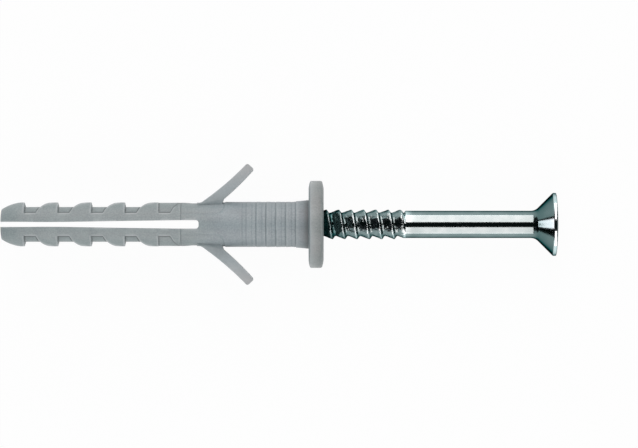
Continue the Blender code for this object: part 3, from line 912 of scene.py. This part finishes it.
def makeNail():
    nail = nailBlank()
    runTree(nail, threadTree(), threadForm, zinc)
    combine(nail, crossBlank(), "DIFFERENCE")
    combine(nail, tickBlank(), "DIFFERENCE")
    places, tones = zip(*paintedNailLight())
    setTone(nail, lambda x: np.interp(x, places, tones))
    finishPiece(nail, "nail_body", "nail_screw", zinc, rest["nailPoint"], 40.0, (0.9, 0.6))


makeNail()

# Floor, light and camera
studio = {"floorSize": 6.0, "floorColour": (0.80, 0.82, 0.82, 1.0), "seenShare": 0.95,
          "boxAway": 0.60, "boxAlong": 0.30, "boxColour": (1.0, 0.80, 0.79),
          "boxes": ((51.5, 0.764, 3.45), (-54.0, 0.690, 3.00)),
          "fill": (0.40, 0.50, 0.51, 1.0), "horizon": (0.95, 0.95, 0.95, 1.0),
          "overhead": (0.003, 0.006, 0.006, 1.0), "room": (0.80, 0.64, 0.75, 1.0), "walls": (0.95, 0.95, 0.95, 1.0),
          "leftCard": (6.8, 4.9, 5.1, 1.0), "rightCard": (4.5, 3.75, 3.75, 1.0),
          "away": 0.45, "across": 0.0831, "aimAlong": 41.35, "aimAside": 0.05}


def makeFloor():
    # To the camera and in gloss the floor is nearly white, and it keeps the object's shadow
    bm = bmesh.new()
    half = studio["floorSize"] / 2.0
    bm.faces.new([bm.verts.new((x * half, y * half, 0.0))
                  for x, y in ((-1, -1), (1, -1), (1, 1), (-1, 1))])
    floor = newObject("studioFloor", bm)
    material = bpy.data.materials.new("paleFloor")
    material.use_nodes = True
    nodes, links = material.node_tree.nodes, material.node_tree.links
    nodes.clear()
    paths = nodes.new("ShaderNodeLightPath")
    tree = material.node_tree
    seen = Amount(tree, paths.outputs["Is Camera Ray"])
    seen = seen.most(Amount(tree, paths.outputs["Is Glossy Ray"]))
    seen = seen.most(Amount(tree, paths.outputs["Is Transmission Ray"]))
    matt = nodes.new("ShaderNodeBsdfDiffuse")
    matt.inputs["Color"].default_value = studio["floorColour"]
    white = nodes.new("ShaderNodeEmission")
    white.inputs["Color"].default_value = (1.0, 1.0, 1.0, 1.0)
    mix = nodes.new("ShaderNodeMixShader")
    leave = nodes.new("ShaderNodeOutputMaterial")
    links.new((seen * studio["seenShare"]).socket, mix.inputs[0])
    links.new(matt.outputs[0], mix.inputs[1])
    links.new(white.outputs[0], mix.inputs[2])
    links.new(mix.outputs[0], leave.inputs["Surface"])
    floor.data.materials.append(material)


def makeSoftboxes():
    for degrees, across, strength in studio["boxes"]:
        lamp = bpy.data.lights.new("softbox", "AREA")
        lamp.shape, lamp.size, lamp.size_y = "RECTANGLE", studio["boxAlong"], across
        lamp.color = studio["boxColour"]
        lamp.energy = strength * math.pi * studio["boxAlong"] * across
        box = bpy.data.objects.new("softbox", lamp)
        tilt = math.radians(degrees)
        box.location = (0.0, studio["boxAway"] * math.sin(tilt), studio["boxAway"] * math.cos(tilt))
        box.rotation_euler = (-tilt, 0.0, 0.0)
        bpy.context.scene.collection.objects.link(box)


def makeWorld():
    # Soft fill on all sides; in gloss, the white background under a dark ceiling, and two cards
    world = bpy.data.worlds.new("studio")
    bpy.context.scene.world = world
    world.use_nodes = True
    nodes, links = world.node_tree.nodes, world.node_tree.links
    nodes.clear()
    paths = nodes.new("ShaderNodeLightPath")
    direction = nodes.new("ShaderNodeTexCoord")
    parts = nodes.new("ShaderNodeSeparateXYZ")
    links.new(direction.outputs["Generated"], parts.inputs[0])
    along, aside, height = (Amount(world.node_tree, parts.outputs[index]) for index in range(3))

    def between(amount, low, high, soft):
        return ((amount - low) / soft).share() * ((amount.takenFrom(high)) / soft).share()

    leftDark = ((along * -1.0 - 0.75) / 0.08).share() * (aside.takenFrom(0.31) / 0.02).share()
    overhead = ((height - 0.10) / 0.16).share().most(leftDark).most((along - 0.75) / 0.15).share()
    seen = mixColour(nodes, links, overhead, studio["horizon"], studio["overhead"])
    room = nodes.new("ShaderNodeTexNoise")
    room.inputs["Scale"].default_value, room.inputs["Detail"].default_value = 7.0, 2.0
    links.new(direction.outputs["Generated"], room.inputs["Vector"])
    uneven = Amount(world.node_tree, room.outputs[0]) - 0.5
    patches = ((uneven - 0.03) * 5.0).share()
    patches = patches * between(along, -0.86, -0.50, 0.05) * between(height, 0.2, 0.9, 0.05)
    patches = patches * (((aside.math("ABSOLUTE") - 0.20) / 0.35).share() * 0.7 + 0.06)
    seen = mixColour(nodes, links, patches, seen, studio["room"])
    walls = ((aside.math("ABSOLUTE") + uneven * 0.6 - 0.67) / 0.08).share()
    walls = walls * (height.takenFrom(0.80) / 0.15).share()
    walls = walls * ((along.math("ABSOLUTE") - 0.35) / 0.10).share()
    walls = walls * (along.math("ABSOLUTE").takenFrom(0.90) / 0.10).share()
    seen = mixColour(nodes, links, walls, seen, studio["walls"])
    leftCard = between(aside, -0.16, 0.22, 0.02) * between(height, -0.10, 0.26, 0.03)
    leftCard = leftCard * ((along * -1.0 - 0.8) / 0.05).share()
    rightCard = between(aside, -0.62, 0.62, 0.08) * between(height, -0.05, 0.34, 0.06)
    rightCard = rightCard * ((along - 0.6) / 0.1).share()
    seen = mixColour(nodes, links, leftCard, seen, studio["leftCard"])
    seen = mixColour(nodes, links, rightCard, seen, studio["rightCard"])
    mirrored = Amount(world.node_tree, paths.outputs["Is Glossy Ray"])
    mirrored = mirrored.most(Amount(world.node_tree, paths.outputs["Is Transmission Ray"]))
    colour = mixColour(nodes, links, mirrored, studio["fill"], seen)
    camera = Amount(world.node_tree, paths.outputs["Is Camera Ray"])
    colour = mixColour(nodes, links, camera, colour, (1.0, 1.0, 1.0, 1.0))
    sky = nodes.new("ShaderNodeBackground")
    leave = nodes.new("ShaderNodeOutputWorld")
    links.new(colour, sky.inputs["Color"])
    links.new(sky.outputs[0], leave.inputs["Surface"])


def makeCamera():
    lens = bpy.data.cameras.new("camera")
    lens.sensor_width = 36.0
    lens.lens = lens.sensor_width * studio["away"] / studio["across"]
    lens.clip_start = 0.01
    camera = bpy.data.objects.new("camera", lens)
    up = Vector((math.sin(rest["lean"]), 0.0, math.cos(rest["lean"])))
    aim = layDown @ Vector((studio["aimAlong"], studio["aimAside"], 0.0))
    camera.location = aim + up * studio["away"]
    camera.rotation_euler = (0.0, rest["lean"], 0.0)
    bpy.context.scene.collection.objects.link(camera)
    bpy.context.scene.camera = camera


makeFloor()
makeSoftboxes()
makeWorld()
makeCamera()
bpy.context.scene.view_settings.view_transform = "Standard"
print("studio made")

bpy.context.view_layer.update()
